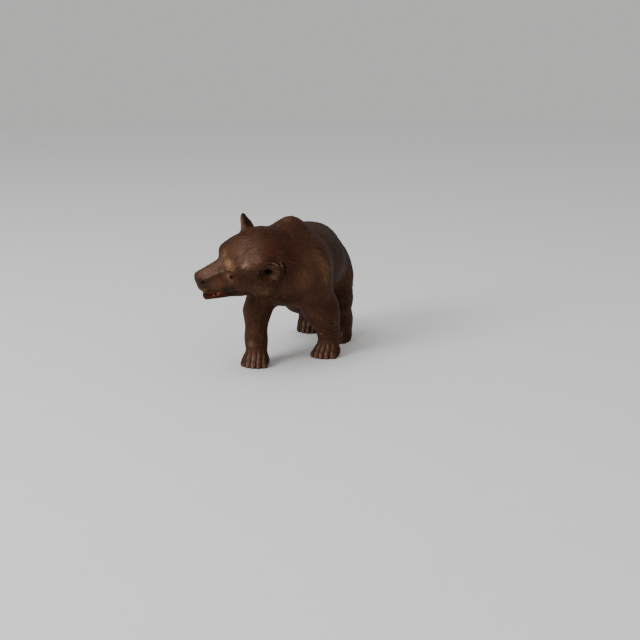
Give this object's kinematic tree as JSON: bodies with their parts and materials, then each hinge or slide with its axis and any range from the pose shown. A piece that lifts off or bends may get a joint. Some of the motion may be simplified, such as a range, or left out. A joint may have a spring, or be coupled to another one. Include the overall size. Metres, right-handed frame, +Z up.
{
  "type": "carved wooden bear figurine",
  "caption": "Small stained-wood bear carved from one block, walking on all fours with its head turned to the right and its mouth open; stands on flat-sawn paws as an ornament.",
  "frame": {"origin": "on the ground, under the middle of the figure's bounding box", "axes": "+Z up, -Y the way the bear walks, +X to the bear's left; the head is turned to -X"},
  "size_m": [0.0554, 0.1144, 0.0755],
  "materials": {
    "stained_wood": "satin, brown stain worn lighter on the brows, crown, wrists and paws"
  },
  "bodies": {
    "root": {"bear_carving": "stained_wood"}
  },
  "joints": []
}
